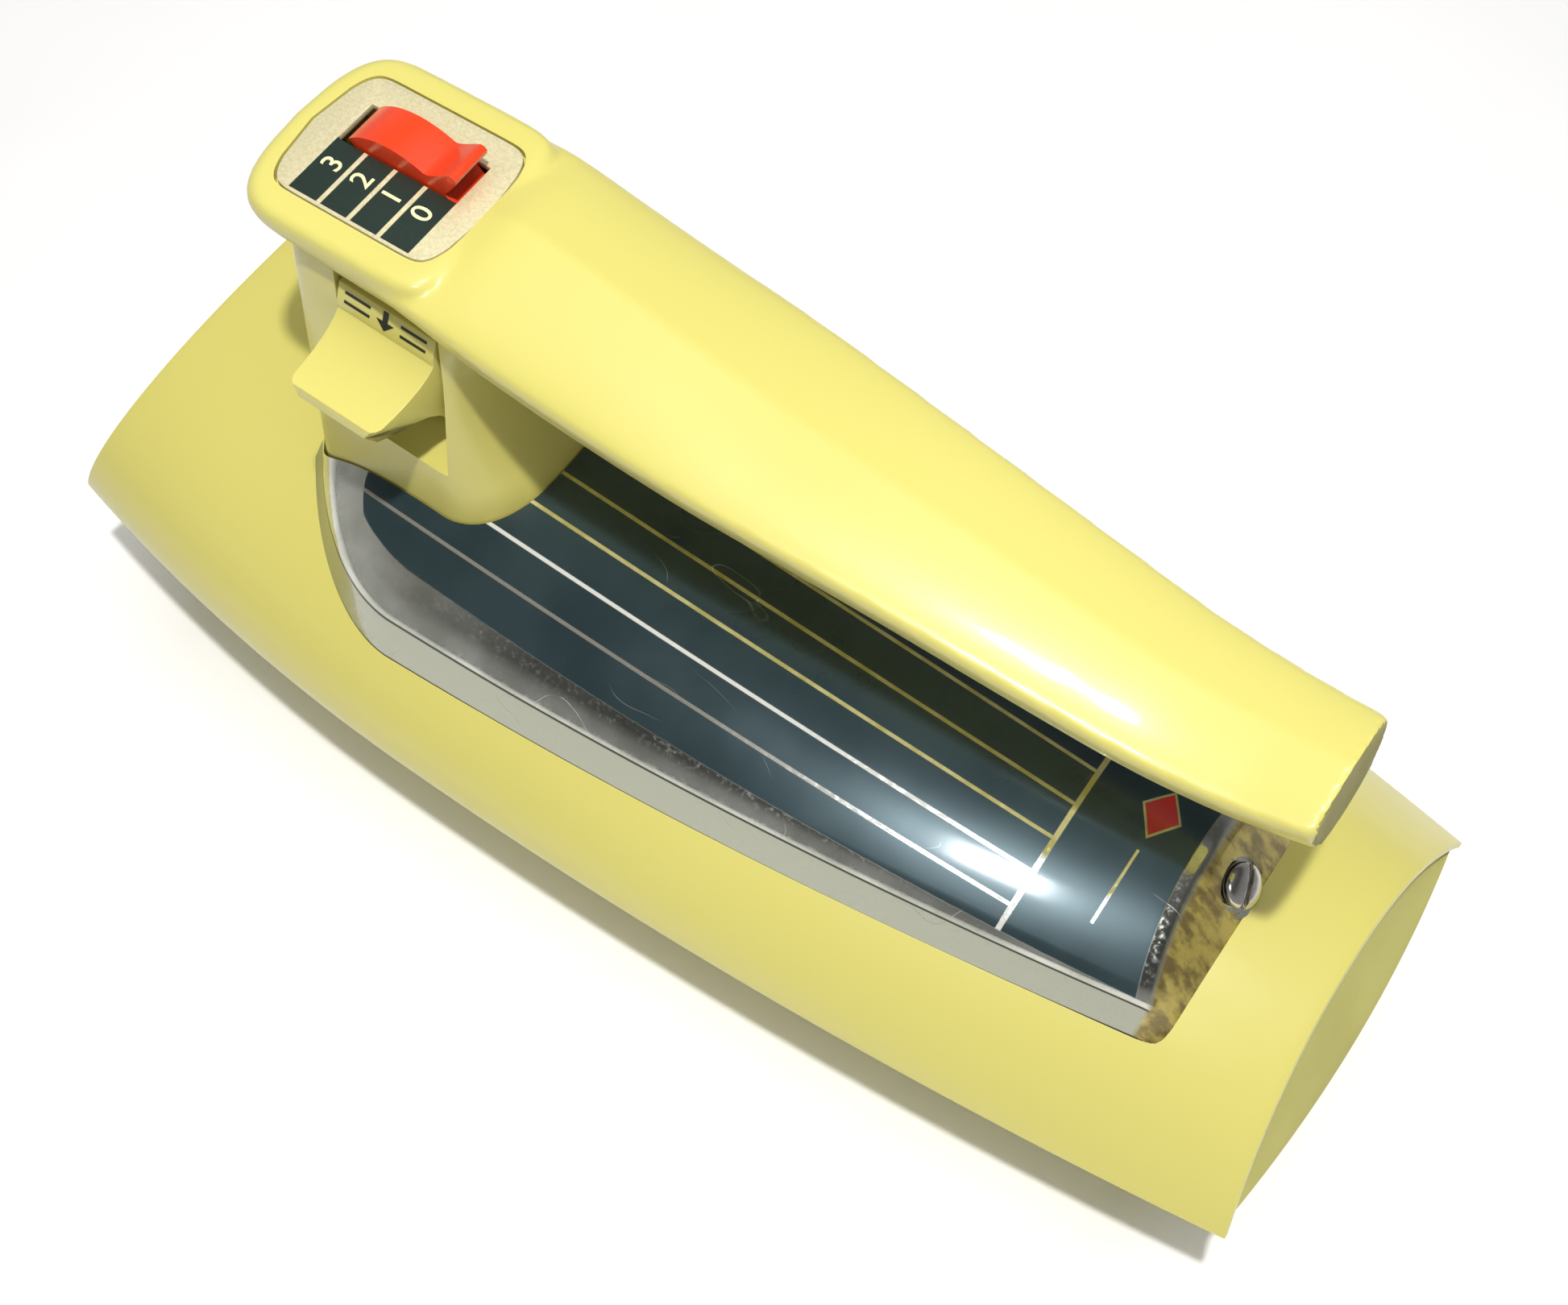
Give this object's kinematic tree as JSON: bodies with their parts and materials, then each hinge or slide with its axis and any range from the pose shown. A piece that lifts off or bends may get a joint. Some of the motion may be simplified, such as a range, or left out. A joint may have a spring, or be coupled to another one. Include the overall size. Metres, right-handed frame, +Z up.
{
  "type": "hand mixer",
  "caption": "Portable hand mixer: flared housing, striped deck cover, pillar with side ejector lever, cantilevered handle and thumb speed drum.",
  "frame": {"origin": "middle of the flat underside, under the centre of the overall box", "axes": "+X runs from the nose (beater end) to the heel (handle's free end and inlet), +Y is the user's right, +Z is up"},
  "size_m": [0.22, 0.098, 0.1202],
  "materials": {
    "enamel_yellow": "glossy pastel yellow",
    "deck_paint": "dark blue-green with pale stripes on a bright plated shell",
    "bright_steel": "bright plated",
    "plate_metal": "pale gold satin",
    "drum_red": "glossy orange-red",
    "steel": "bare machined",
    "lamination": "oiled steel laminations",
    "copper": "varnished copper",
    "bronze": "sintered bronze",
    "brass": "stamped",
    "carbon": "graphite",
    "phenolic": "moulded dark brown",
    "nylon": "natural white",
    "diecast": "as cast",
    "black": "moulded black"
  },
  "bodies": {
    "housing": {"upper_housing": "enamel_yellow", "lower_housing": "enamel_yellow", "heel_panel": "enamel_yellow", "nose_panel": "enamel_yellow", "handle_shell": "enamel_yellow", "handle_underside": "enamel_yellow", "deck_cover": "deck_paint", "deck_screw": "bright_steel", "switch_plate": "plate_metal", "grip_screw_1": "steel", "grip_screw_2": "steel", "base_screw_1": "steel", "base_screw_2": "steel", "base_screw_3": "steel", "base_screw_4": "steel", "switch_axle": "steel", "ejector_spring": "steel", "spring_seat": "steel", "switch_base": "phenolic", "switch_contact_off": "brass", "switch_contact_low": "brass", "switch_contact_medium": "brass", "switch_contact_high": "brass", "brush_holder_left": "brass", "brush_holder_right": "brass", "inlet_pin_left": "brass", "inlet_pin_right": "brass", "motor_stator": "lamination", "field_coil_left": "copper", "field_coil_right": "copper", "front_bush": "bronze", "middle_bush": "bronze", "rear_bush": "bronze", "spindle_bush_left": "bronze", "spindle_bush_right": "bronze", "gear_frame": "diecast", "rear_bracket": "diecast", "carbon_brush_left": "carbon", "carbon_brush_right": "carbon", "mains_inlet": "black"},
    "switch": {"switch_drum": "drum_red"},
    "ejector": {"ejector_lever": "enamel_yellow", "ejector_rod": "steel", "ejector_yoke": "steel"},
    "rotor": {"motor_shaft": "steel", "armature_core": "lamination", "armature_winding_front": "copper", "armature_winding_rear": "copper", "commutator": "copper", "cooling_fan": "nylon", "drive_worm": "steel"},
    "left_spindle": {"beater_spindle_left": "steel", "worm_gear_left": "nylon"},
    "right_spindle": {"beater_spindle_right": "steel", "worm_gear_right": "nylon"}
  },
  "joints": [
    {"name": "speed_switch", "type": "hinge", "parent": "housing", "child": "switch", "pos_m": [-0.0575, 0.0029, 0.1056], "axis": [0, -1, 0], "range_deg": [0, 60]},
    {"name": "ejector_press", "type": "slide", "parent": "housing", "child": "ejector", "axis": [0, 0, -1], "range_m": [0, 0.0065], "stiffness_N_per_m": 400, "springref_m": -0.003, "deforming": ["ejector_spring"]},
    {"name": "rotor_spin", "type": "hinge", "parent": "housing", "child": "rotor", "pos_m": [0, 0, 0.0295], "axis": [1, 0, 0], "continuous": true},
    {"name": "left_spindle_spin", "type": "hinge", "parent": "housing", "child": "left_spindle", "pos_m": [-0.072, -0.0138, 0], "axis": [0, 0, 1], "continuous": true},
    {"name": "right_spindle_spin", "type": "hinge", "parent": "housing", "child": "right_spindle", "pos_m": [-0.072, 0.0138, 0], "axis": [0, 0, 1], "continuous": true}
  ],
  "couplings": [
    {"joint": "left_spindle_spin", "follows": "rotor_spin", "ratio": 0.05},
    {"joint": "right_spindle_spin", "follows": "rotor_spin", "ratio": -0.05}
  ]
}
